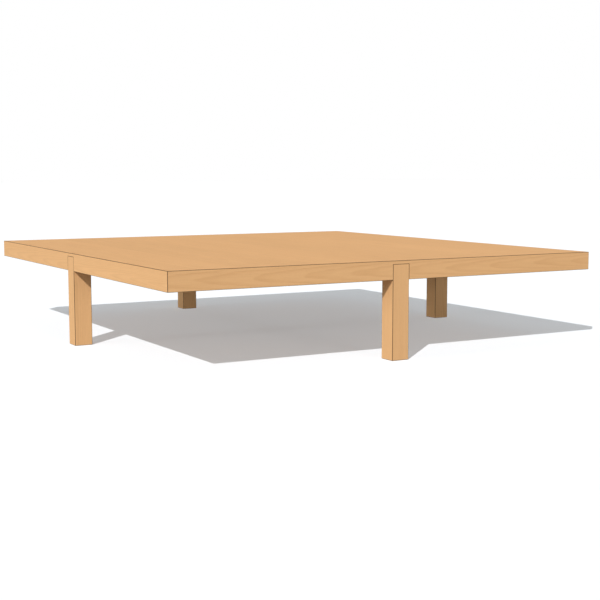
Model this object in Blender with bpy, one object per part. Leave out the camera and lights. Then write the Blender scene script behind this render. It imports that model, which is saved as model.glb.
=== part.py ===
"""A low platform bed frame in pale wood.

A flat deck stands on four square posts, one in the middle of each side, so that all four corners are free.
The outer cheek of each post is let into its rail, flush with the rail's outer face, and the top panel covers
the tops of the rails and posts. Two pairs of beams run between opposite posts, one beam on each side of a
post, and cross in the middle of the deck. Bolts clamp each post between its two beams. Joists carry the panel
between the beams and the side rails.

Metres, +Z up. The origin is on the floor, under the middle of the deck. X runs across the bed and Y along it.
"""

import math
from collections import namedtuple

import bmesh
import bpy
from mathutils import Vector

# Overall sizes
DECK_WIDTH = 1.930
DECK_LENGTH = 2.030
DECK_HEIGHT = 0.386

# Wooden pieces
PANEL_THICKNESS = 0.013
RAIL_DEPTH = 0.061
RAIL_THICKNESS = 0.032
POST_SIZE = 0.075
CHEEK_THICKNESS = 0.014
BEAM_THICKNESS = 0.032
JOIST_THICKNESS = 0.030
JOIST_DEPTH = 0.045
JOISTS_IN_A_BAY = 2
HOUSING_DEPTH = 0.010
BLOCK_LEG = 0.085
BLOCK_END = 0.030
BLOCK_HEIGHT = 0.050
BLOCK_RELIEF = 0.006
EDGE = 0.0015
FIT = 0.0003

# Bolts through each post and its two beams
BOLT_RADIUS = 0.004
BOLT_TAIL = 0.004
BOLT_TIP = 0.001
BOLT_SPREAD_ACROSS = 0.018
BOLT_SPREAD_UP = 0.028
HEX_HALF_WIDTH = 0.0065
HEX_CHAMFER = 0.001
FLANGE_RADIUS = 0.0085
FLANGE_THICKNESS = 0.0015
HEAD_HEIGHT = 0.0065
NUT_HEIGHT = 0.008

# Screws that hold the panel down on the joists and corner blocks
SCREW_RADIUS = 0.00225
SCREW_HEAD_RADIUS = 0.0045
SCREW_HEAD_HEIGHT = 0.003
SCREW_POINT = 0.004
SCREW_GRIP = 0.025
SCREW_BITE = 0.009
SCREW_POCKET_RADIUS = 0.006

# Roundness, and how far a cutter runs past the face that it opens
BOLT_SIDES = 18
SCREW_SIDES = 12
POCKET_SIDES = 24
SHARP_ANGLE = math.radians(35)
PAST = 0.005

# Levels and distances that follow from the sizes above
FRAME_TOP = DECK_HEIGHT - PANEL_THICKNESS - FIT
FRAME_BOTTOM = FRAME_TOP - RAIL_DEPTH
JOIST_BOTTOM = FRAME_TOP - JOIST_DEPTH
LAP_LEVEL = (FRAME_TOP + FRAME_BOTTOM) / 2
BEAM_INNER = POST_SIZE / 2 + FIT
BEAM_OUTER = BEAM_INNER + BEAM_THICKNESS
BEAM_END = RAIL_THICKNESS - HOUSING_DEPTH + FIT
BLOCK_SCREW_INSET = (BLOCK_LEG + BLOCK_END) / 4
SCREW_SEAT = FRAME_TOP - SCREW_GRIP
SCREW_LENGTH = SCREW_GRIP + FIT + SCREW_BITE
BOLT_LENGTH = 2 * (BEAM_OUTER + FIT) + NUT_HEIGHT + BOLT_TAIL

# A side of the deck. turn carries the front side's axes to it: u runs along the side, v inwards and w up.
Side = namedtuple("Side", "name turn run reach")
SIDES = (
    Side("front", 0.0, DECK_WIDTH, DECK_LENGTH / 2),
    Side("right", math.pi / 2, DECK_LENGTH, DECK_WIDTH / 2),
    Side("back", math.pi, DECK_WIDTH, DECK_LENGTH / 2),
    Side("left", -math.pi / 2, DECK_LENGTH, DECK_WIDTH / 2),
)
SIDES_WITH_JOISTS = ("left", "right")

# A corner of the deck: the signs of its X and Y, and the turn that carries the front left corner to it.
Corner = namedtuple("Corner", "name x y turn")
CORNERS = (
    Corner("front_left", -1, -1, 0.0),
    Corner("front_right", 1, -1, math.pi / 2),
    Corner("back_right", 1, 1, math.pi),
    Corner("back_left", -1, 1, -math.pi / 2),
)


def clear_scene():
    for obj in list(bpy.data.objects):
        bpy.data.objects.remove(obj, do_unlink=True)


def make_material(name, colour, roughness, metallic=0.0):
    material = bpy.data.materials.new(name)
    material.use_nodes = True
    shader = material.node_tree.nodes["Principled BSDF"]
    shader.inputs["Base Color"].default_value = (*colour, 1.0)
    shader.inputs["Roughness"].default_value = roughness
    shader.inputs["Metallic"].default_value = metallic
    return material


def mesh_from(bm, name, smooth=False):
    bmesh.ops.recalc_face_normals(bm, faces=bm.faces)
    mesh = bpy.data.meshes.new(name)
    bm.to_mesh(mesh)
    bm.free()
    if smooth:
        mesh.shade_smooth()
        mesh.set_sharp_from_angle(angle=SHARP_ANGLE)
    return mesh


def add_box(bm, low, high):
    """Adds a closed box between two corners and returns its vertices."""
    size = Vector(high) - Vector(low)
    centre = (Vector(high) + Vector(low)) / 2
    made = bmesh.ops.create_cube(bm, size=1.0)["verts"]
    bmesh.ops.scale(bm, vec=size, verts=made)
    bmesh.ops.translate(bm, vec=centre, verts=made)
    return made


def add_prism(bm, outline, bottom, top):
    """Adds a closed upright prism on a plan outline."""
    base = bm.faces.new([bm.verts.new((x, y, bottom)) for x, y in outline])
    raised = bmesh.ops.extrude_face_region(bm, geom=[base])["geom"]
    lifted = [item for item in raised if isinstance(item, bmesh.types.BMVert)]
    bmesh.ops.translate(bm, vec=(0, 0, top - bottom), verts=lifted)


def ease_edges(bm, chosen=lambda edge: True):
    """Chamfers the edges that chosen picks."""
    edges = [edge for edge in bm.edges if chosen(edge)]
    bmesh.ops.bevel(bm, geom=edges, offset=EDGE, segments=1, profile=0.5, affect="EDGES")


def is_upright(edge):
    along = edge.verts[0].co - edge.verts[1].co
    return math.hypot(along.x, along.y) < abs(along.z)


def lies_at(edge, level):
    return all(abs(vert.co.z - level) < EDGE / 10 for vert in edge.verts)


def round_ring(radius, level, sides):
    """A round ring about the Z axis."""
    turns = [2 * math.pi * step / sides for step in range(sides)]
    return [(radius * math.cos(turn), radius * math.sin(turn), level) for turn in turns]


def hexagon_ring(half_width, level, sides):
    """A hexagon about the Z axis, with as many points as a round ring has."""
    sixth = math.pi / 3
    ring = []
    for step in range(sides):
        turn = 2 * math.pi * step / sides
        radius = half_width / math.cos((turn + sixth / 2) % sixth - sixth / 2)
        ring.append((radius * math.cos(turn), radius * math.sin(turn), level))
    return ring


def add_loft(bm, rings, closed=False):
    """Adds a skin over rings of points. A closed loft runs back to its first ring; an open one is capped."""
    loops = [[bm.verts.new(point) for point in ring] for ring in rings]
    followers = loops[1:] + loops[:1] if closed else loops[1:]
    for lower, upper in zip(loops, followers):
        for step in range(len(lower)):
            following = (step + 1) % len(lower)
            bm.faces.new((lower[step], lower[following], upper[following], upper[step]))
    if not closed:
        bm.faces.new(loops[0])
        bm.faces.new(loops[-1])


def add_round_cutter(bm, centre, steps, sides, along_x=False):
    """Adds a turned cutter, whose steps are (radius, height), standing up or lying along X, at a centre."""
    before = set(bm.verts)
    add_loft(bm, [round_ring(radius, height, sides) for radius, height in steps])
    made = [vert for vert in bm.verts if vert not in before]
    if along_x:
        for vert in made:
            vert.co = Vector((vert.co.z, vert.co.y, -vert.co.x))
    bmesh.ops.translate(bm, vec=centre, verts=made)


def place(name, mesh, material, location=(0, 0, 0), rotation=(0, 0, 0)):
    if not mesh.materials:
        mesh.materials.append(material)
    piece = bpy.data.objects.new(name, mesh)
    bpy.context.scene.collection.objects.link(piece)
    piece.location = location
    piece.rotation_euler = rotation
    piece.parent = bpy.data.objects["bed_frame"]
    return piece


def cut(piece, cutter_mesh):
    """Cuts a piece with a cutter that is drawn in the piece's own axes."""
    cutter = bpy.data.objects.new(piece.name + "_cutter", cutter_mesh)
    bpy.context.scene.collection.objects.link(cutter)
    cutter.parent = piece
    cutter.hide_render = True
    cutter.display_type = "WIRE"
    boolean = piece.modifiers.new("joints", "BOOLEAN")
    boolean.operation = "DIFFERENCE"
    boolean.solver = "EXACT"
    boolean.object = cutter


def side_location(side, reach):
    """Where the middle of a side's outer face is, at a distance from the middle of the deck."""
    return (math.sin(side.turn) * reach, -math.cos(side.turn) * reach, 0)


def joist_offsets():
    """How far each joist's middle is from the deck's middle, along Y, in one bay."""
    bay_start = BEAM_OUTER
    bay_end = DECK_LENGTH / 2 - RAIL_THICKNESS
    pitch = (bay_end - bay_start) / (JOISTS_IN_A_BAY + 1)
    return [bay_start + pitch * (number + 1) for number in range(JOISTS_IN_A_BAY)]


def joist_span():
    """The nearer and further end of a joist, as distances from the deck's middle along X."""
    near = BEAM_OUTER - HOUSING_DEPTH + FIT
    far = DECK_WIDTH / 2 - BEAM_END
    return near, far


def bolt_points():
    """Each bolt's distance in from the post's outer face, and its height."""
    middle = (RAIL_THICKNESS + FIT + POST_SIZE) / 2
    across = BOLT_SPREAD_ACROSS / 2
    up = BOLT_SPREAD_UP / 2
    return (middle - across, LAP_LEVEL - up), (middle + across, LAP_LEVEL + up)


def block_point(corner):
    """Where a corner block's screw is: X and Y."""
    x = corner.x * (DECK_WIDTH / 2 - RAIL_THICKNESS - BLOCK_SCREW_INSET)
    y = corner.y * (DECK_LENGTH / 2 - RAIL_THICKNESS - BLOCK_SCREW_INSET)
    return x, y


def screw_points():
    """Each panel screw's name, X and Y: one in the middle of each joist and one in each corner block."""
    near, far = joist_span()
    points = []
    for corner in CORNERS:
        for number, offset in enumerate(joist_offsets(), start=1):
            name = f"joist_{corner.name}_{number}"
            points.append((name, corner.x * (near + far) / 2, corner.y * offset))
        points.append((f"corner_{corner.name}", *block_point(corner)))
    return points


def add_joist_housings(bm, low_v, high_v):
    """Adds the cutters for the joist ends, open at the top, along a piece that runs the length of the bed."""
    half = JOIST_THICKNESS / 2 + FIT
    for offset in joist_offsets():
        for middle in (-offset, offset):
            low = (middle - half, low_v, JOIST_BOTTOM - FIT)
            high = (middle + half, high_v, FRAME_TOP + PAST)
            add_box(bm, low, high)


def make_top_panel(material):
    bm = bmesh.new()
    bottom = DECK_HEIGHT - PANEL_THICKNESS
    half_x = DECK_WIDTH / 2
    half_y = DECK_LENGTH / 2
    add_box(bm, (-half_x, -half_y, bottom), (half_x, half_y, DECK_HEIGHT))
    ease_edges(bm, lambda edge: not lies_at(edge, bottom))
    panel = place("top_panel", mesh_from(bm, "top_panel"), material)

    pilot = bmesh.new()
    radius = SCREW_RADIUS + FIT
    steps = ((radius, -PAST), (radius, SCREW_BITE + FIT))
    for _, x, y in screw_points():
        add_round_cutter(pilot, (x, y, bottom), steps, SCREW_SIDES)
    cut(panel, mesh_from(pilot, "pilot_holes"))


def rail_outline(run):
    """The plan of a rail: mitred ends, each with its share of the joint's gap and an eased outer corner."""
    half = run / 2
    mitre_gap = FIT / math.sqrt(2)
    right_end = [
        (half - EDGE, 0.0),
        (half - (EDGE + mitre_gap) / 2, (EDGE - mitre_gap) / 2),
        (half - mitre_gap - RAIL_THICKNESS, RAIL_THICKNESS),
    ]
    left_end = [(-u, v) for u, v in reversed(right_end)]
    return right_end + left_end


def make_rail(side, material):
    bm = bmesh.new()
    add_prism(bm, rail_outline(side.run), FRAME_BOTTOM, FRAME_TOP)
    long_edge = side.run / 2
    ease_edges(bm, lambda edge: lies_at(edge, FRAME_BOTTOM) and edge.calc_length() > long_edge)
    mesh = mesh_from(bm, "rail_" + side.name)
    rail = place("rail_" + side.name, mesh, material, side_location(side, side.reach), (0, 0, side.turn))

    joints = bmesh.new()
    low = FRAME_BOTTOM - PAST
    high = FRAME_TOP + PAST
    half_post = POST_SIZE / 2 + FIT
    add_box(joints, (-half_post, -PAST, low), (half_post, CHEEK_THICKNESS + FIT, high))
    back_of_housing = RAIL_THICKNESS - HOUSING_DEPTH
    for sign in (-1, 1):
        ends = sorted((sign * (BEAM_INNER - FIT), sign * (BEAM_OUTER + FIT)))
        add_box(joints, (ends[0], back_of_housing, low), (ends[1], RAIL_THICKNESS + PAST, high))
    if side.name in SIDES_WITH_JOISTS:
        add_joist_housings(joints, back_of_housing, RAIL_THICKNESS + PAST)
    cut(rail, mesh_from(joints, "rail_joints_" + side.name))


def make_posts(material):
    """Posts with a slot across the top. The rail's web drops into the slot behind the outer cheek."""
    bm = bmesh.new()
    half = POST_SIZE / 2
    add_box(bm, (-half, 0, 0), (half, POST_SIZE, FRAME_TOP))
    ease_edges(bm)
    post_mesh = mesh_from(bm, "post")

    joints = bmesh.new()
    slot_low = (-half - PAST, CHEEK_THICKNESS, FRAME_BOTTOM - FIT)
    slot_high = (half + PAST, RAIL_THICKNESS + FIT, FRAME_TOP + PAST)
    add_box(joints, slot_low, slot_high)
    radius = BOLT_RADIUS + FIT
    steps = ((radius, -half - PAST), (radius, half + PAST))
    for inwards, level in bolt_points():
        add_round_cutter(joints, (0, inwards, level), steps, BOLT_SIDES, along_x=True)
    joints_mesh = mesh_from(joints, "post_joints")

    for side in SIDES:
        location = side_location(side, side.reach)
        post = place("post_" + side.name, post_mesh, material, location, (0, 0, side.turn))
        cut(post, joints_mesh)


def add_lap_notches(bm, from_top):
    """Adds the cutters for the two halving joints in the middle of a beam."""
    if from_top:
        low, high = LAP_LEVEL - FIT / 2, FRAME_TOP + PAST
    else:
        low, high = FRAME_BOTTOM - PAST, LAP_LEVEL + FIT / 2
    for sign in (-1, 1):
        ends = sorted((sign * (BEAM_INNER - FIT), sign * (BEAM_OUTER + FIT)))
        add_box(bm, (ends[0], -PAST, low), (ends[1], BEAM_THICKNESS + PAST, high))


def add_beam_bolt_holes(bm, half_run):
    """Adds the cutters for the bolts at both ends of a beam."""
    radius = BOLT_RADIUS + FIT
    hole = [round_ring(radius, depth, BOLT_SIDES) for depth in (-PAST, BEAM_THICKNESS + PAST)]
    for sign in (-1, 1):
        for inwards, level in bolt_points():
            middle = sign * (half_run - inwards)
            rings = [[(middle + x, depth, level + y) for x, y, depth in ring] for ring in hole]
            add_loft(bm, rings)


def make_beam(side, material):
    """A beam beside two opposite posts. Its ends are housed in the rails, and it is halved over the two beams
    that it crosses. The front and back beams run across the bed and pass below the left and right ones."""
    runs_across = side.name not in SIDES_WITH_JOISTS
    bm = bmesh.new()
    half = side.run / 2 - BEAM_END
    add_box(bm, (-half, 0, FRAME_BOTTOM), (half, BEAM_THICKNESS, FRAME_TOP))
    ease_edges(bm)
    name = "beam_" + side.name
    beam = place(name, mesh_from(bm, name), material, side_location(side, BEAM_OUTER), (0, 0, side.turn))

    joints = bmesh.new()
    add_lap_notches(joints, from_top=runs_across)
    add_beam_bolt_holes(joints, side.run / 2)
    if not runs_across:
        add_joist_housings(joints, -PAST, HOUSING_DEPTH)
    cut(beam, mesh_from(joints, "beam_joints_" + side.name))


def make_joists(material):
    """Joists across the bed, hung in housings in the side rails and the long beams."""
    near, far = joist_span()
    half = (far - near) / 2
    half_thickness = JOIST_THICKNESS / 2
    bm = bmesh.new()
    add_box(bm, (-half, -half_thickness, JOIST_BOTTOM), (half, half_thickness, FRAME_TOP))
    ease_edges(bm)
    joist_mesh = mesh_from(bm, "joist")
    pocket_mesh = screw_pocket(JOIST_BOTTOM, "joist_pocket")
    for corner in CORNERS:
        for number, offset in enumerate(joist_offsets(), start=1):
            location = (corner.x * (near + half), corner.y * offset, 0)
            joist = place(f"joist_{corner.name}_{number}", joist_mesh, material, location)
            cut(joist, pocket_mesh)


def screw_pocket(bottom, name):
    """A stepped cutter: a wide pocket for a screw's head, up to its seat, and a hole for its shank above."""
    hole = SCREW_RADIUS + FIT
    seat = SCREW_SEAT - FIT
    steps = (
        (SCREW_POCKET_RADIUS, bottom - PAST),
        (SCREW_POCKET_RADIUS, seat),
        (hole, seat),
        (hole, FRAME_TOP + PAST),
    )
    pocket = bmesh.new()
    add_round_cutter(pocket, (0, 0, 0), steps, POCKET_SIDES)
    return mesh_from(pocket, name)


def make_corner_blocks(material):
    """Glue blocks behind the mitres, drawn with the screw on the block's own Z axis."""
    first = FIT - BLOCK_SCREW_INSET
    relieved = first + BLOCK_RELIEF
    leg = BLOCK_LEG - BLOCK_SCREW_INSET
    end = BLOCK_END - BLOCK_SCREW_INSET
    outline = [(relieved, first), (leg, first), (leg, end), (end, leg), (first, leg), (first, relieved)]
    bm = bmesh.new()
    add_prism(bm, outline, FRAME_TOP - BLOCK_HEIGHT, FRAME_TOP)
    ease_edges(bm)
    block_mesh = mesh_from(bm, "corner_block")
    pocket_mesh = screw_pocket(FRAME_TOP - BLOCK_HEIGHT, "block_pocket")
    for corner in CORNERS:
        location = (*block_point(corner), 0)
        block = place("corner_block_" + corner.name, block_mesh, material, location, (0, 0, corner.turn))
        cut(block, pocket_mesh)


def bolt_mesh():
    """A flanged hexagon bolt along Z. The flange seats at the origin and the shank runs up."""
    tip = BOLT_RADIUS - BOLT_TIP
    rings = [
        hexagon_ring(HEX_HALF_WIDTH - HEX_CHAMFER, -HEAD_HEIGHT, BOLT_SIDES),
        hexagon_ring(HEX_HALF_WIDTH, HEX_CHAMFER - HEAD_HEIGHT, BOLT_SIDES),
        hexagon_ring(HEX_HALF_WIDTH, -FLANGE_THICKNESS, BOLT_SIDES),
        round_ring(FLANGE_RADIUS, -FLANGE_THICKNESS, BOLT_SIDES),
        round_ring(FLANGE_RADIUS, 0, BOLT_SIDES),
        round_ring(BOLT_RADIUS, 0, BOLT_SIDES),
        round_ring(BOLT_RADIUS, BOLT_LENGTH - BOLT_TIP, BOLT_SIDES),
        round_ring(tip, BOLT_LENGTH, BOLT_SIDES),
    ]
    bm = bmesh.new()
    add_loft(bm, rings)
    return mesh_from(bm, "bolt", smooth=True)


def nut_mesh():
    """A flanged hexagon nut along Z. The flange seats at the origin, and the bore clears the bolt."""
    bore = BOLT_RADIUS + FIT
    rings = [
        round_ring(bore, 0, BOLT_SIDES),
        round_ring(FLANGE_RADIUS, 0, BOLT_SIDES),
        round_ring(FLANGE_RADIUS, FLANGE_THICKNESS, BOLT_SIDES),
        hexagon_ring(HEX_HALF_WIDTH, FLANGE_THICKNESS, BOLT_SIDES),
        hexagon_ring(HEX_HALF_WIDTH, NUT_HEIGHT - HEX_CHAMFER, BOLT_SIDES),
        hexagon_ring(HEX_HALF_WIDTH - HEX_CHAMFER, NUT_HEIGHT, BOLT_SIDES),
        round_ring(bore, NUT_HEIGHT, BOLT_SIDES),
    ]
    bm = bmesh.new()
    add_loft(bm, rings, closed=True)
    return mesh_from(bm, "nut", smooth=True)


def screw_mesh():
    """A pan-headed screw along Z. The head seats at the origin and the shank runs up to a blunt point."""
    rings = [
        round_ring(SCREW_HEAD_RADIUS / 2, -SCREW_HEAD_HEIGHT, SCREW_SIDES),
        round_ring(SCREW_HEAD_RADIUS, -SCREW_HEAD_HEIGHT / 2, SCREW_SIDES),
        round_ring(SCREW_HEAD_RADIUS, 0, SCREW_SIDES),
        round_ring(SCREW_RADIUS, 0, SCREW_SIDES),
        round_ring(SCREW_RADIUS, SCREW_LENGTH - SCREW_POINT, SCREW_SIDES),
        round_ring(SCREW_RADIUS / 4, SCREW_LENGTH, SCREW_SIDES),
    ]
    bm = bmesh.new()
    add_loft(bm, rings)
    return mesh_from(bm, "screw", smooth=True)


def make_bolts_and_nuts(material):
    """Two bolts clamp each post between its beams, with their axes along the side."""
    bolt = bolt_mesh()
    nut = nut_mesh()
    seat = BEAM_OUTER + FIT
    for side in SIDES:
        along = Vector((math.cos(side.turn), math.sin(side.turn), 0))
        rotation = (0, math.pi / 2, side.turn)
        for number, (inwards, level) in enumerate(bolt_points(), start=1):
            middle = Vector(side_location(side, side.reach - inwards))
            middle.z = level
            place(f"bolt_{side.name}_{number}", bolt, material, middle - along * seat, rotation)
            place(f"nut_{side.name}_{number}", nut, material, middle + along * seat, rotation)


def make_panel_screws(material):
    """Each screw's head stays clear of its pocket's end, which is cut clear of the seat as well."""
    mesh = screw_mesh()
    for name, x, y in screw_points():
        place("screw_" + name, mesh, material, (x, y, SCREW_SEAT - FIT * 2))


def build():
    clear_scene()
    root = bpy.data.objects.new("bed_frame", None)
    bpy.context.scene.collection.objects.link(root)

    panel_wood = make_material("panel_wood", (0.73, 0.42, 0.21), 0.50)
    rail_wood = make_material("rail_wood", (0.70, 0.39, 0.19), 0.50)
    post_wood = make_material("post_wood", (0.67, 0.37, 0.18), 0.50)
    inner_wood = make_material("inner_wood", (0.62, 0.40, 0.22), 0.60)
    zinc = make_material("zinc_steel", (0.60, 0.60, 0.58), 0.35, metallic=1.0)

    make_top_panel(panel_wood)
    for side in SIDES:
        make_rail(side, rail_wood)
        make_beam(side, inner_wood)
    make_posts(post_wood)
    make_joists(inner_wood)
    make_corner_blocks(inner_wood)
    make_bolts_and_nuts(zinc)
    make_panel_screws(zinc)


build()
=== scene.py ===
import math

import bmesh
import bpy
from mathutils import Matrix, Vector


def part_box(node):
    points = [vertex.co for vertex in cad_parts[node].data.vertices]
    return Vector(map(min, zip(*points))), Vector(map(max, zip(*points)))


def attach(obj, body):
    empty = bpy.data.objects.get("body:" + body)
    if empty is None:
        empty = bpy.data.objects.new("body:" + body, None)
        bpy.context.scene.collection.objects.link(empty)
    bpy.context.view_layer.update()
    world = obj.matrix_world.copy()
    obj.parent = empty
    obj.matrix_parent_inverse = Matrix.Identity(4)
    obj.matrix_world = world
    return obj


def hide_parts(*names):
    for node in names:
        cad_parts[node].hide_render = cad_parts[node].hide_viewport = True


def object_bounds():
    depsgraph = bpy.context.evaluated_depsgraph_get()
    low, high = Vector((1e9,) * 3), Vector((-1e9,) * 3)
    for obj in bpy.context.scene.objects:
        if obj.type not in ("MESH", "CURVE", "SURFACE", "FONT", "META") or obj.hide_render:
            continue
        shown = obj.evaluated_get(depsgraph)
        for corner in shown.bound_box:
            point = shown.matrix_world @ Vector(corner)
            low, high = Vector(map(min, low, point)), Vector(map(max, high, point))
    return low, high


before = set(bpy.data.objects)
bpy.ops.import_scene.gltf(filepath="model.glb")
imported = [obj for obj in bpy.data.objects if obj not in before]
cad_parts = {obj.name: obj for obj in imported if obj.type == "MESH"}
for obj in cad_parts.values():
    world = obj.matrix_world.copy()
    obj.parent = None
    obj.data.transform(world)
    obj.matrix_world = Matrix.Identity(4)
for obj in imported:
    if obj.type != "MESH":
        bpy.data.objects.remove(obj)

# The looks of a low platform bed frame in pale oiled wood. Metres, in the frame's own axes: X across the
# bed, Y along it, Z up. Each wooden piece is a rounded copy of its CAD solid, with grain that runs through it
# from end to end. Bolts, nuts and screws are turned and threaded pieces of the CAD ones' sizes.

CAD_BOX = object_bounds()
LOW, HIGH = CAD_BOX
DECK_WIDTH = HIGH.x - LOW.x


class Graph:
    """Adds shader nodes to one material. An input may be a number, a colour or another node's output."""

    def __init__(self, name):
        self.material = bpy.data.materials.new(name)
        self.material.use_nodes = True
        self.nodes = self.material.node_tree.nodes
        self.links = self.material.node_tree.links
        self.shader = self.nodes["Principled BSDF"]

    def feed(self, socket, value):
        if isinstance(value, bpy.types.NodeSocket):
            self.links.new(value, socket)
        else:
            socket.default_value = value

    def add(self, kind, inputs=(), **settings):
        node = self.nodes.new("ShaderNode" + kind)
        for key, value in settings.items():
            setattr(node, key, value)
        for key, value in dict(inputs).items():
            self.feed(node.inputs[key], value)
        return node

    def math(self, operation, first, second=0.0):
        return self.add("Math", {0: first, 1: second}, operation=operation).outputs[0]

    def times(self, first, second):
        return self.math("MULTIPLY", first, second)

    def less(self, first, second):
        return self.math("SUBTRACT", first, second)

    def total(self, first, *others):
        for other in others:
            first = self.math("ADD", first, other)
        return first

    def weigh(self, base, parts, shares):
        """A base value, and a share of each of the parts that shares names."""
        return self.total(base, *(self.times(parts[name], share) for name, share in shares.items()))

    def smooth(self, value, low, high):
        """0 below low, 1 above high, and a smooth step between."""
        inputs = {"Value": value, "From Min": low, "From Max": high}
        return self.add("MapRange", inputs, interpolation_type="SMOOTHSTEP").outputs["Result"]

    def noise(self, place, scales, shift=0.0, detail=2.0, roughness=0.5):
        """Noise from 0 to 1, drawn in the directions of place at each direction's own scale, per metre."""
        scaled = [self.times(axis, scale) for axis, scale in zip(place, scales)]
        scaled[0] = self.total(scaled[0], shift)
        vector = self.add("CombineXYZ", dict(enumerate(scaled))).outputs[0]
        inputs = {"Vector": vector, "Scale": 1.0, "Detail": detail, "Roughness": roughness}
        return self.add("TexNoise", inputs).outputs[0]

    def centred(self, value, amount):
        """A value from 0 to 1, turned into one from -amount / 2 to amount / 2."""
        return self.times(self.less(value, 0.5), amount)

    def mix(self, share, first, second, blend="MIX"):
        node = self.add("Mix", data_type="RGBA", blend_type=blend)
        self.feed(node.inputs[0], share)
        self.feed(node.inputs[6], first)
        self.feed(node.inputs[7], second)
        return node.outputs[2]

    def tint(self, colour, factor):
        """A colour made lighter or darker by a factor."""
        grey = self.add("CombineXYZ", {0: factor, 1: factor, 2: factor}).outputs[0]
        return self.mix(1.0, colour, grey, "MULTIPLY")

    def bump(self, relief, strength, height):
        bump = self.add("Bump", {"Height": relief, "Strength": strength, "Distance": height})
        self.feed(self.shader.inputs["Normal"], bump.outputs[0])


# --------------------------------------------------------------------------------------------------
# Stage: camera, floor and studio light
# --------------------------------------------------------------------------------------------------

# The camera stands in front of the bed and to its left, a little above the deck. Its place is in deck widths.
CAMERA_PLACE = Vector((-1.2908, -2.3732, 0.3707))
CAMERA_TURN = 29.845
CAMERA_TILT = -6.342
CAMERA_LENS = 68.32

# One hard key light throws the shadow. A fill from above, with no shadow of its own, keeps that shadow pale
# and even. Broad, low and slightly cool fills from the four sides and a weak sky lift the faces that the key
# leaves dark, but less so close under the deck. The floor looks white but throws back little light, as a
# flagged studio floor does. A light's direction is the way that it shines, and its size is in degrees.
WHITE = (1.0, 1.0, 1.0)
KEY_DIRECTION = (0.9873, 0.9181, -1.0)
KEY_STRENGTH = 3.16
KEY_SIZE = 0.4
SKY_STRENGTH = 0.197
FILL_ABOVE = 1.037
FILL_DROP = -0.0524
FILL_SIZE = 12.0
FILL_COLOUR = (0.88, 0.96, 1.0)
SIDE_FILLS = {
    "fill_left": ((1, 0, FILL_DROP), 1.43),
    "fill_front": ((0, 1, FILL_DROP), 0.83),
    "fill_right": ((-1, 0, FILL_DROP), 0.90),
    "fill_back": ((0, -1, FILL_DROP), 0.70),
}
FLOOR_SEEN = (0.860, 0.892, 0.922, 1.0)
FLOOR_BOUNCE = (0.29, 0.29, 0.29, 1.0)
FLOOR_SIZE = 80.0


def make_camera():
    camera = bpy.data.objects.new("camera", bpy.data.cameras.new("camera"))
    bpy.context.scene.collection.objects.link(camera)
    camera.location = CAMERA_PLACE * DECK_WIDTH
    camera.rotation_euler = (math.radians(90 + CAMERA_TILT), 0, math.radians(-CAMERA_TURN))
    camera.data.lens = CAMERA_LENS
    camera.data.clip_end = 2 * FLOOR_SIZE
    bpy.context.scene.camera = camera


def make_floor():
    bm = bmesh.new()
    bmesh.ops.create_grid(bm, x_segments=1, y_segments=1, size=FLOOR_SIZE)
    mesh = bpy.data.meshes.new("floor")
    bm.to_mesh(mesh)
    bm.free()
    floor = bpy.data.objects.new("floor", mesh)
    bpy.context.scene.collection.objects.link(floor)
    graph = Graph("floor_paper")
    seen = graph.add("LightPath").outputs["Is Camera Ray"]
    graph.feed(graph.shader.inputs["Base Color"], graph.mix(seen, FLOOR_BOUNCE, FLOOR_SEEN))
    graph.feed(graph.shader.inputs["Roughness"], 1.0)
    graph.feed(graph.shader.inputs["Specular IOR Level"], 0.0)
    mesh.materials.append(graph.material)


def make_sun(name, direction, strength, size=FILL_SIZE, colour=WHITE, shadow=True, gloss=False):
    sun = bpy.data.objects.new(name, bpy.data.lights.new(name, "SUN"))
    bpy.context.scene.collection.objects.link(sun)
    sun.data.energy = strength
    sun.data.color = colour
    sun.data.angle = math.radians(size)
    sun.data.use_shadow = shadow
    sun.visible_glossy = gloss
    sun.rotation_euler = Vector(direction).to_track_quat("-Z", "Y").to_euler()


def make_lights():
    make_sun("key", KEY_DIRECTION, KEY_STRENGTH, KEY_SIZE, gloss=True)
    make_sun("fill_above", (0, 0, -1), FILL_ABOVE, shadow=False)
    for name, (direction, strength) in SIDE_FILLS.items():
        make_sun(name, direction, strength, colour=FILL_COLOUR)

    world = bpy.data.worlds.new("studio")
    world.use_nodes = True
    nodes = world.node_tree.nodes
    links = world.node_tree.links
    nodes.clear()
    light = nodes.new("ShaderNodeBackground")
    light.inputs["Strength"].default_value = SKY_STRENGTH
    backdrop = nodes.new("ShaderNodeBackground")
    seen = nodes.new("ShaderNodeLightPath")
    mix = nodes.new("ShaderNodeMixShader")
    output = nodes.new("ShaderNodeOutputWorld")
    for background in (light, backdrop):
        background.inputs["Color"].default_value = (*WHITE, 1)
    links.new(seen.outputs["Is Camera Ray"], mix.inputs["Fac"])
    links.new(light.outputs["Background"], mix.inputs[1])
    links.new(backdrop.outputs["Background"], mix.inputs[2])
    links.new(mix.outputs["Shader"], output.inputs["Surface"])
    bpy.context.scene.world = world
    bpy.context.scene.view_settings.view_transform = "Standard"


# --------------------------------------------------------------------------------------------------
# Materials
# --------------------------------------------------------------------------------------------------

# Scales of the wood's noises, per metre along, across and through a board
SWAY_SCALES = (0.9, 5.0, 5.0)
RIPPLE_SCALES = (9.0, 30.0, 30.0)
CLOUD_SCALES = (0.8, 3.0, 3.0)
STREAK_SCALES = (2.0, 60.0, 60.0)
FIBRE_SCALES = (16.0, 700.0, 700.0)
PORE_SCALES = (70.0, 1500.0, 1500.0)

# How far the growth rings wander, and where their pith lies: at least PITH_DEPTH below a board's middle, at
# most PITH_SPREAD deeper, within a width of PITH_ASIDE and within a range of slopes of PITH_LEAN
SWAY = 0.030
RIPPLE = 0.0035
PITH_DEPTH = 0.045
PITH_SPREAD = 0.05
PITH_ASIDE = 0.09
PITH_LEAN = 0.05

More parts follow.
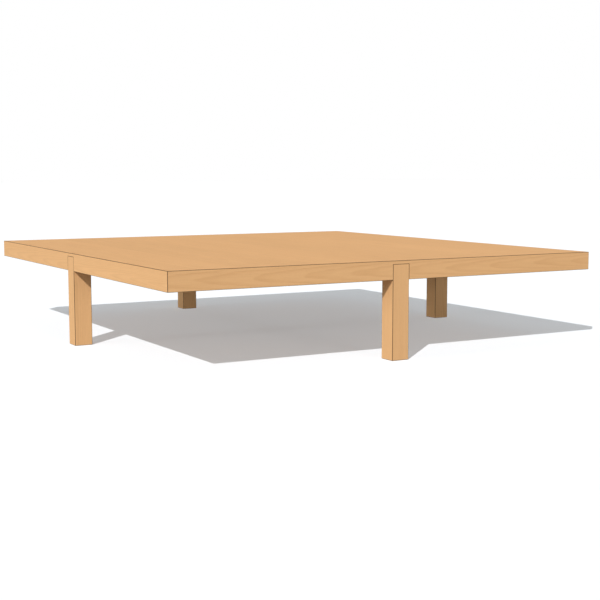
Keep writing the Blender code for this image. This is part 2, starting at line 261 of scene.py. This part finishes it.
# Steps from one board's number to the next in its luck and in its place in the noises
LUCK_STEP = 7.31
NOISE_STEP = 13.7

# Where in a ring its late wood comes and goes, and which levels of noise are pores
LATE_GROWTH = (0.30, 0.86)
RING_EDGE = (0.90, 1.0)
PORE_LEVELS = (0.62, 0.74)

# How much each part of the figure adds to the late wood's colour, the tone, the roughness and the relief
LATE_BASE = 0.2
LATE_SHARES = {"latewood": 0.385, "streak": 0.63}
TONE_SHARES = {"cloud": 0.10, "fibre": 0.16, "luck": 0.035, "pore": -0.10, "end": -0.18}
ROUGHNESS_SHARES = {"fibre": 0.15, "pore": 0.15, "latewood": -0.06}
RELIEF_SHARES = {"fibre": 0.5, "latewood": 0.35, "pore": -0.6}
RELIEF_STRENGTH = 0.35
RELIEF_HEIGHT = 0.0002
WOOD_SPECULAR = 0.18


def place_in_board(graph, stave):
    """The number of the board that a point is in, and its place along, across and through that board."""
    board = graph.add("Attribute", attribute_name="board").outputs["Fac"]
    grain = graph.add("Attribute", attribute_name="grain").outputs["Vector"]
    along, across, through = graph.add("SeparateXYZ", {0: grain}).outputs
    if not stave:
        return board, (along, across, through)
    number = graph.math("FLOOR", graph.total(graph.math("DIVIDE", across, stave), board))
    middle = graph.times(graph.less(graph.total(number, 0.5), board), stave)
    return number, (along, graph.less(across, middle), through)


def latewood_at(graph, place, shift, luck, ring):
    """How much late wood there is at a place, from 0 to 1. Its rings stand round the pith."""
    along, across, through = place
    lean = graph.times(along, graph.centred(luck[1], PITH_LEAN))
    depth = graph.total(graph.times(luck[2], PITH_SPREAD), PITH_DEPTH)
    aside = graph.centred(luck[0], PITH_ASIDE)
    sway = graph.centred(graph.noise(place, SWAY_SCALES, shift), SWAY)
    above = graph.math("POWER", graph.total(through, depth, lean), 2.0)
    beside = graph.math("POWER", graph.total(across, aside, sway), 2.0)
    radius = graph.math("SQRT", graph.total(above, beside))
    ripple = graph.centred(graph.noise(place, RIPPLE_SCALES, shift), RIPPLE)
    season = graph.math("FRACT", graph.math("DIVIDE", graph.total(radius, ripple), ring))
    grown = graph.smooth(season, *LATE_GROWTH)
    ended = graph.smooth(season, *RING_EDGE)
    return graph.times(grown, graph.less(1.0, ended))


def wood_material(name, early, late, stave=0.0, ring=0.0045, roughness=0.62, dark_edge_and_hole_shade=0.2):
    """Pale wood. A face shows its growth rings as long flames, an edge as straight lines and an end as arcs.
    early and late are the colours of the two parts of a ring, and ring is its width. stave is the width of
    the boards that a wide piece is glued up from. The last argument is the tone of the darkened eased edges,
    which also darkens the narrow walls of screw pockets and bolt holes as painted shade."""
    graph = Graph(name)
    number, place = place_in_board(graph, stave)
    shift = graph.times(number, NOISE_STEP)
    seed = graph.times(number, LUCK_STEP)
    colours = graph.add("TexWhiteNoise", {"W": seed}, noise_dimensions="1D").outputs["Color"]
    luck = graph.add("SeparateColor", {0: colours}).outputs
    parts = {
        "latewood": latewood_at(graph, place, shift, luck, ring),
        "cloud": graph.centred(graph.noise(place, CLOUD_SCALES, shift, detail=3.0), 1.0),
        "streak": graph.centred(graph.noise(place, STREAK_SCALES, shift, detail=3.0), 1.0),
        "fibre": graph.centred(graph.noise(place, FIBRE_SCALES, shift), 1.0),
        "pore": graph.smooth(graph.noise(place, PORE_SCALES, shift, detail=1.0), *PORE_LEVELS),
        "luck": graph.centred(luck[1], 1.0),
        "end": graph.add("Attribute", attribute_name="end").outputs["Fac"],
    }
    colour = graph.mix(graph.weigh(LATE_BASE, parts, LATE_SHARES), (*early, 1), (*late, 1))
    # Eased edges are made darker, and so are the narrow facets of screw pockets and bolt holes: painted shade
    # in those holes.
    is_edge_or_hole_wall = graph.add("Attribute", attribute_name="dark_edge_and_hole_shade").outputs["Fac"]
    edge_and_hole_darkening = graph.less(1.0, graph.times(is_edge_or_hole_wall, 1 - dark_edge_and_hole_shade))
    tone = graph.times(graph.weigh(1.0, parts, TONE_SHARES), edge_and_hole_darkening)
    graph.feed(graph.shader.inputs["Base Color"], graph.tint(colour, tone))
    graph.feed(graph.shader.inputs["Roughness"], graph.weigh(roughness, parts, ROUGHNESS_SHARES))
    graph.feed(graph.shader.inputs["Specular IOR Level"], WOOD_SPECULAR)
    graph.bump(graph.weigh(0.0, parts, RELIEF_SHARES), RELIEF_STRENGTH, RELIEF_HEIGHT)
    return graph.material


# Bright zinc plate: its colour, and the scales per metre and the shares of its clouds and small spangles
ZINC = (0.60, 0.61, 0.62, 1.0)
ZINC_CLOUD_SCALES = (220.0, 220.0, 220.0)
ZINC_SPECK_SCALES = (2600.0, 2600.0, 2600.0)
ZINC_SPECK_LEVELS = (0.60, 0.70)
ZINC_TONE_SHARES = {"cloud": 0.25, "speck": -0.12}
ZINC_ROUGHNESS = 0.36
ZINC_ROUGHNESS_SHARES = {"cloud": 0.20}
ZINC_STRENGTH = 0.2
ZINC_HEIGHT = 0.00005


def zinc_material(name):
    graph = Graph(name)
    where = graph.add("TexCoord").outputs["Object"]
    place = graph.add("SeparateXYZ", {0: where}).outputs
    parts = {
        "cloud": graph.centred(graph.noise(place, ZINC_CLOUD_SCALES, detail=3.0), 1.0),
        "speck": graph.smooth(graph.noise(place, ZINC_SPECK_SCALES, detail=1.0), *ZINC_SPECK_LEVELS),
    }
    graph.feed(graph.shader.inputs["Base Color"], graph.tint(ZINC, graph.weigh(1.0, parts, ZINC_TONE_SHARES)))
    graph.feed(graph.shader.inputs["Roughness"], graph.weigh(ZINC_ROUGHNESS, parts, ZINC_ROUGHNESS_SHARES))
    graph.feed(graph.shader.inputs["Metallic"], 1.0)
    graph.bump(parts["speck"], ZINC_STRENGTH, ZINC_HEIGHT)
    return graph.material


# --------------------------------------------------------------------------------------------------
# Wooden pieces
# --------------------------------------------------------------------------------------------------

X, Y, Z = 0, 1, 2

# The axes that run along, across and through each board, and the material slot of each kind of piece
GRAIN_AXES = {
    "top_panel": (Y, X, Z),
    "rail_front": (X, Z, Y),
    "rail_back": (X, Z, Y),
    "rail_left": (Y, Z, X),
    "rail_right": (Y, Z, X),
    "post": (Z, X, Y),
    "beam_front": (X, Z, Y),
    "beam_back": (X, Z, Y),
    "beam_left": (Y, Z, X),
    "beam_right": (Y, Z, X),
    "joist": (X, Z, Y),
    "corner_block": (Z, X, Y),
}
SLOT_OF = {
    "top_panel": "deck_panel",
    "rail": "rail",
    "post": "post",
    "beam": "inner_timber",
    "joist": "inner_timber",
    "corner_block": "inner_timber",
}
TIMBERS = [node for node in sorted(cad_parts) if node.startswith(tuple(SLOT_OF))]
MIDDLES = {node: sum(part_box(node), Vector()) / 2 for node in TIMBERS}

# The roundness of every edge, the widest face that is darkened as an eased edge, and the step between boards'
# numbers. Facets of screw pockets and bolt holes are as narrow, so they are darkened too, as painted shade.
ROUNDING = 0.0005
ROUNDING_STEPS = 2
DARK_FACE_WIDTH = 0.0026
BOARD_STEP = 1.37

# Tolerances: of one point and one flat face, in metres and radians, then the angle of a sharp edge, and the
# shares of a normal that make a face square to an axis, end grain or level
SAME_POINT = 1e-6
FLAT_ANGLE = math.radians(1)
SHARP_ANGLE = math.radians(30)
SQUARE = 0.995
FACING = 0.9
LEVEL = 0.5

# The level where the top panel is glued to the rails, and how near to it is on it
GLUE_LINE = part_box("top_panel")[0].z
GLUE_BAND = 0.001


def is_glue_line(node, edge):
    """Whether an edge lies where the top panel is glued to the rails. It is flush there, and not eased."""
    on_line = all(abs(vert.co.z - GLUE_LINE) < GLUE_BAND for vert in edge.verts)
    return on_line and node.startswith(("top_panel", "rail"))


def round_solid(node):
    """A copy of a CAD solid with its triangles merged into whole faces and its edges rounded."""
    bm = bmesh.new()
    bm.from_mesh(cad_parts[node].data)
    bmesh.ops.remove_doubles(bm, verts=bm.verts, dist=SAME_POINT)
    bmesh.ops.dissolve_limit(bm, angle_limit=FLAT_ANGLE, verts=bm.verts, edges=bm.edges)
    sharp = [edge for edge in bm.edges if edge.is_manifold and edge.calc_face_angle() > SHARP_ANGLE]
    rounded = [edge for edge in sharp if not is_glue_line(node, edge)]
    shape = {"offset": ROUNDING, "segments": ROUNDING_STEPS, "profile": 0.5, "clamp_overlap": True}
    bmesh.ops.bevel(bm, geom=rounded, affect="EDGES", **shape)
    for face in bm.faces:
        face.smooth = width_of(face) < ROUNDING
    return bm


def width_of(face):
    return face.calc_area() / max(edge.calc_length() for edge in face.edges)


def is_edge_or_hole_wall(face):
    """Whether a face is narrow and askew, as along an eased edge. The facets of a screw pocket's or a bolt
    hole's wall are too, and the material darkens them as painted shade.
    """
    return width_of(face) < DARK_FACE_WIDTH and max(abs(part) for part in face.normal) < SQUARE


def store(mesh, name, kind, domain, values):
    """Adds an attribute to a mesh, from a flat list of its values."""
    attribute = mesh.attributes.new(name, kind, domain)
    attribute.data.foreach_set("vector" if kind == "FLOAT_VECTOR" else "value", values)


def starting(table, node):
    """The entry of a table whose key the node's name starts with."""
    return next(value for key, value in table.items() if node.startswith(key))


def board_seen(node, normal):
    """The board whose grain a face shows. The top panel's edges are faced with the wood of the rails."""
    if node != "top_panel" or abs(normal.z) > LEVEL:
        return node
    if abs(normal.x) > abs(normal.y):
        return "rail_right" if normal.x > 0 else "rail_left"
    return "rail_back" if normal.y > 0 else "rail_front"


def wood_marks(bm, node):
    """What the wood material reads: each corner's place along, across and through its board, each face's
    board, whether the face is end grain, and whether it is an eased edge or a facet of a hole's wall, both of
    which the material darkens; in the holes that is painted shade."""
    places, boards, ends, edge_and_hole_walls = [], [], [], []
    for face in bm.faces:
        board = board_seen(node, face.normal)
        axes = starting(GRAIN_AXES, board)
        places += [(loop.vert.co - MIDDLES[board])[axis] for loop in face.loops for axis in axes]
        boards.append(BOARD_STEP * (1 + TIMBERS.index(board)))
        ends.append(float(abs(face.normal[axes[0]]) > FACING))
        edge_and_hole_walls.append(float(is_edge_or_hole_wall(face)))
        face.material_index = int(board != node)
    return places, boards, ends, edge_and_hole_walls


def add_piece(name, mesh, slot, *nodes):
    """Puts a piece in place of its CAD nodes."""
    piece = bpy.data.objects.new(name, mesh)
    bpy.context.scene.collection.objects.link(piece)
    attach(piece, "root")
    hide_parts(*nodes)
    return piece


def make_timber(node, slot, materials):
    """materials are the piece's own and, where its edges are faced with another board, that board's."""
    bm = round_solid(node)
    places, boards, ends, edge_and_hole_walls = wood_marks(bm, node)
    mesh = bpy.data.meshes.new(node + "_timber")
    bm.to_mesh(mesh)
    bm.free()
    store(mesh, "grain", "FLOAT_VECTOR", "CORNER", places)
    store(mesh, "board", "FLOAT", "FACE", boards)
    store(mesh, "end", "FLOAT", "FACE", ends)
    store(mesh, "dark_edge_and_hole_shade", "FLOAT", "FACE", edge_and_hole_walls)
    for material in materials:
        mesh.materials.append(material)
    return add_piece(node + "_timber", mesh, slot, node)


# Early and late wood of the pieces that show and of the planed timber beneath, and the deck's staves
EARLY_WOOD = (0.706, 0.409, 0.192)
LATE_WOOD = (0.604, 0.331, 0.145)
EARLY_PLANED = (0.78, 0.53, 0.31)
LATE_PLANED = (0.58, 0.34, 0.17)
STAVE_WIDTH = 0.16
STAVE_RING = 0.0060


def make_woodwork():
    materials = {
        "deck_panel": wood_material("deck_veneer", EARLY_WOOD, LATE_WOOD, STAVE_WIDTH, STAVE_RING),
        "rail": wood_material("rail_wood", EARLY_WOOD, LATE_WOOD),
        "post": wood_material("post_wood", EARLY_WOOD, LATE_WOOD),
        "inner_timber": wood_material("planed_timber", EARLY_PLANED, LATE_PLANED, roughness=0.7, dark_edge_and_hole_shade=0.6),
    }
    for node in TIMBERS:
        slot = starting(SLOT_OF, node)
        faced = [materials["rail"]] if node == "top_panel" else []
        make_timber(node, slot, [materials[slot]] + faced)


# --------------------------------------------------------------------------------------------------
# Bolts, nuts and screws
# --------------------------------------------------------------------------------------------------

# Bolts and nuts. A crown is the cone that cuts the corners of a hexagon's end back to a circle.
HEAD_HEIGHT = 0.0065
HEX_HALF_WIDTH = 0.0065
CROWN_RADIUS = 0.0061
CROWN_SLOPE = math.radians(30)
FLANGE_THICKNESS = 0.0015
FLANGE_LIP = 0.0006
BOLT_RADIUS = 0.004
BOLT_PITCH = 0.00125
BOLT_THREAD_DEPTH = 0.6 * BOLT_PITCH
BOLT_CORE = BOLT_RADIUS - BOLT_THREAD_DEPTH
BOLT_THREAD = 0.018
BOLT_TIP = 0.001
BORE_RADIUS = 0.0043
BORE_FLARE = 0.0005

# Screws. A head is flat over a share of its radius, and domed over a share of its height. A cross recess
# tapers to a share of its size.
SCREW_RADIUS = 0.00225
SCREW_CORE = 0.0016
SCREW_PITCH = 0.0018
SCREW_PLAIN = 0.008
SCREW_HEAD_HEIGHT = 0.003
SCREW_HEAD_FLAT = 0.35
SCREW_HEAD_DOME = 0.8
SCREW_POINT = 0.004
SCREW_TIP = SCREW_CORE / 5
CROSS_REACH = 0.0026
CROSS_HALF_WIDTH = 0.0009
CROSS_DEPTH = 0.0018
CROSS_TAPER = 0.45

# A thread's crest and its root are each flat over a share of the pitch.
THREAD_FLAT = 0.1

# Points round every ring, and rings up a crown, a flange's lip, a pitch of thread and a dome
HARDWARE_SIDES = 36
CROWN_STEPS = 8
LIP_STEPS = 3
THREAD_STEPS = 8
DOME_STEPS = 8


def round_ring(radius, height):
    return hex_ring(radius, height, radius)


def hex_ring(half_width, height, limit):
    """A ring of points round a hexagon, held inside a circle of the limit's radius."""
    sixth = math.pi / 3
    ring = []
    for step in range(HARDWARE_SIDES):
        angle = math.tau * step / HARDWARE_SIDES
        from_flat = (angle + sixth / 2) % sixth - sixth / 2
        radius = min(half_width / math.cos(from_flat), limit)
        ring.append(Vector((radius * math.cos(angle), radius * math.sin(angle), height)))
    return ring


def thread_rings(core, crest, pitch, low, high):
    """Rings up a screw thread. Its ridge climbs once round in each pitch, and fades out at both ends."""
    rings = []
    count = round((high - low) / pitch * THREAD_STEPS)
    for level in range(count + 1):
        height = low + (high - low) * level / count
        fade = min(1.0, (height - low) / pitch, (high - height) / pitch)
        ring = []
        for step in range(HARDWARE_SIDES):
            angle = math.tau * step / HARDWARE_SIDES
            phase = (height / pitch - angle / math.tau) % 1.0
            fall = (abs(2 * phase - 1) - THREAD_FLAT) / (1 - 2 * THREAD_FLAT)
            radius = crest - (crest - core) * min(max(fall, 0.0), 1.0) * fade
            ring.append(Vector((radius * math.cos(angle), radius * math.sin(angle), height)))
        rings.append(ring)
    return rings


def skin(rings, closed=False):
    """A solid from rings of points, joined one after another. Its ends are capped, or joined if closed."""
    bm = bmesh.new()
    loops = [[bm.verts.new(point) for point in ring] for ring in rings]
    pairs = list(zip(loops, loops[1:]))
    if closed:
        pairs.append((loops[-1], loops[0]))
    else:
        bm.faces.new(loops[0])
        bm.faces.new(loops[-1])
    for low, high in pairs:
        for step in range(HARDWARE_SIDES):
            after = (step + 1) % HARDWARE_SIDES
            bm.faces.new((low[step], low[after], high[after], high[step]))
    bmesh.ops.recalc_face_normals(bm, faces=bm.faces)
    mesh = bpy.data.meshes.new("hardware")
    bm.to_mesh(mesh)
    bm.free()
    mesh.shade_smooth()
    mesh.set_sharp_from_angle(angle=SHARP_ANGLE)
    return mesh


def crown_rings(top, inwards):
    """The crown of a hexagon that ends at top. inwards is 1 or -1 along Z."""
    deepest = (HEX_HALF_WIDTH / math.cos(math.pi / 6) - CROWN_RADIUS) * math.tan(CROWN_SLOPE)
    rings = []
    for step in range(CROWN_STEPS + 1):
        depth = deepest * step / CROWN_STEPS
        limit = CROWN_RADIUS + depth / math.tan(CROWN_SLOPE)
        rings.append(hex_ring(HEX_HALF_WIDTH, top + inwards * depth, limit))
    return rings


def flange_rings(seat, outwards, radius):
    """A flange from the hexagon's foot to its seat. outwards is 1 or -1 along Z, away from the seat."""
    foot = seat + outwards * (FLANGE_THICKNESS + FLANGE_LIP)
    rings = [hex_ring(HEX_HALF_WIDTH, foot, radius)]
    rings.append(round_ring(radius - FLANGE_LIP, seat + outwards * FLANGE_THICKNESS))
    for step in range(LIP_STEPS + 1):
        turn = math.pi / 2 * step / LIP_STEPS
        out = radius - FLANGE_LIP * (1 - math.sin(turn))
        up = FLANGE_LIP * (1 + math.cos(turn))
        rings.append(round_ring(out, seat + outwards * up))
    rings.append(round_ring(radius - FLANGE_LIP / 2, seat))
    return rings


def bolt_mesh(length, flange):
    """A flanged hexagon bolt that stands on its head."""
    thread = length - BOLT_THREAD
    rings = crown_rings(0.0, 1) + flange_rings(HEAD_HEIGHT, -1, flange)
    rings.append(round_ring(BOLT_RADIUS, HEAD_HEIGHT))
    rings += thread_rings(BOLT_CORE, BOLT_RADIUS, BOLT_PITCH, thread, length - BOLT_TIP)
    rings.append(round_ring(BOLT_RADIUS - BOLT_TIP, length))
    return skin(rings)


def nut_mesh(height, flange):
    """A flanged hexagon nut that stands on its flange."""
    rings = [round_ring(BORE_RADIUS, BORE_FLARE), round_ring(BORE_RADIUS + BORE_FLARE, 0.0)]
    rings += reversed(flange_rings(0.0, 1, flange))
    rings += reversed(crown_rings(height, -1))
    rings.append(round_ring(BORE_RADIUS + BORE_FLARE, height))
    rings.append(round_ring(BORE_RADIUS, height - BORE_FLARE))
    return skin(rings, closed=True)


def cross_cutter():
    """Two tapered blades across each other, as a driver leaves them in a screw's head."""
    bm = bmesh.new()
    for turn in (0.0, math.pi / 2):
        blade = bmesh.ops.create_cube(bm, size=1.0)["verts"]
        for vert in blade:
            deep = vert.co.z > 0
            taper = CROSS_TAPER if deep else 1.0
            height = CROSS_DEPTH if deep else -CROSS_DEPTH
            vert.co = (2 * CROSS_REACH * taper * vert.co.x, 2 * CROSS_HALF_WIDTH * taper * vert.co.y, height)
        bmesh.ops.rotate(bm, verts=blade, matrix=Matrix.Rotation(turn, 3, "Z"))
    mesh = bpy.data.meshes.new("cross")
    bm.to_mesh(mesh)
    bm.free()
    return mesh


def cut(mesh, cutter):
    """A mesh with another cut from it."""
    pieces = [bpy.data.objects.new("cut_" + str(index), data) for index, data in enumerate((mesh, cutter))]
    for piece in pieces:
        bpy.context.scene.collection.objects.link(piece)
    boolean = pieces[0].modifiers.new("cross", "BOOLEAN")
    boolean.object = pieces[1]
    boolean.operation = "DIFFERENCE"
    boolean.use_self = True
    graph = bpy.context.evaluated_depsgraph_get()
    result = bpy.data.meshes.new_from_object(pieces[0].evaluated_get(graph))
    for piece in pieces:
        bpy.data.objects.remove(piece)
    return result


def screw_mesh(length, head):
    """A pan head screw that stands on its head, with a cross recess in it and a coarse thread."""
    rings = []
    for step in range(DOME_STEPS + 1):
        turn = math.pi / 2 * step / DOME_STEPS
        spread = head * (SCREW_HEAD_FLAT + (1 - SCREW_HEAD_FLAT) * math.sin(turn))
        rings.append(round_ring(spread, SCREW_HEAD_DOME * SCREW_HEAD_HEIGHT * (1 - math.cos(turn))))
    rings.append(round_ring(head, SCREW_HEAD_HEIGHT))
    rings.append(round_ring(SCREW_CORE, SCREW_HEAD_HEIGHT))
    foot = SCREW_HEAD_HEIGHT + SCREW_PLAIN
    rings += thread_rings(SCREW_CORE, SCREW_RADIUS, SCREW_PITCH, foot, length - SCREW_POINT)
    rings.append(round_ring(SCREW_TIP, length))
    return cut(skin(rings), cross_cutter())


def make_fastener(node, kind, makers, shapes):
    """A detailed mesh in the place of a CAD bolt, nut or screw. It starts at its box's end nearer the origin.
    shapes keeps one shape of each kind."""
    low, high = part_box(node)
    size = high - low
    axis = (min if kind == "nut" else max)((X, Y, Z), key=lambda side: size[side])
    near, far = sorted((low[axis], high[axis]), key=abs)
    base = (low + high) / 2
    base[axis] = near
    direction = Vector((0, 0, 0))
    direction[axis] = far - near
    if kind not in shapes:
        widths = [size[side] for side in (X, Y, Z) if side != axis]
        shapes[kind] = makers[kind](size[axis], max(widths) / 2)
    mesh = shapes[kind].copy()
    mesh.transform(Matrix.Translation(base) @ direction.to_track_quat("Z", "Y").to_matrix().to_4x4())
    return mesh


def make_fasteners():
    zinc = zinc_material("zinc_plate")
    makers = {"bolt": bolt_mesh, "nut": nut_mesh, "screw": screw_mesh}
    shapes = {}
    for node in sorted(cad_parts):
        kind = node.split("_")[0]
        if kind not in makers:
            continue
        mesh = make_fastener(node, kind, makers, shapes)
        mesh.materials.append(zinc)
        add_piece(node + "_detail", mesh, "hardware", node)


make_camera()
make_floor()
make_lights()
make_woodwork()
make_fasteners()
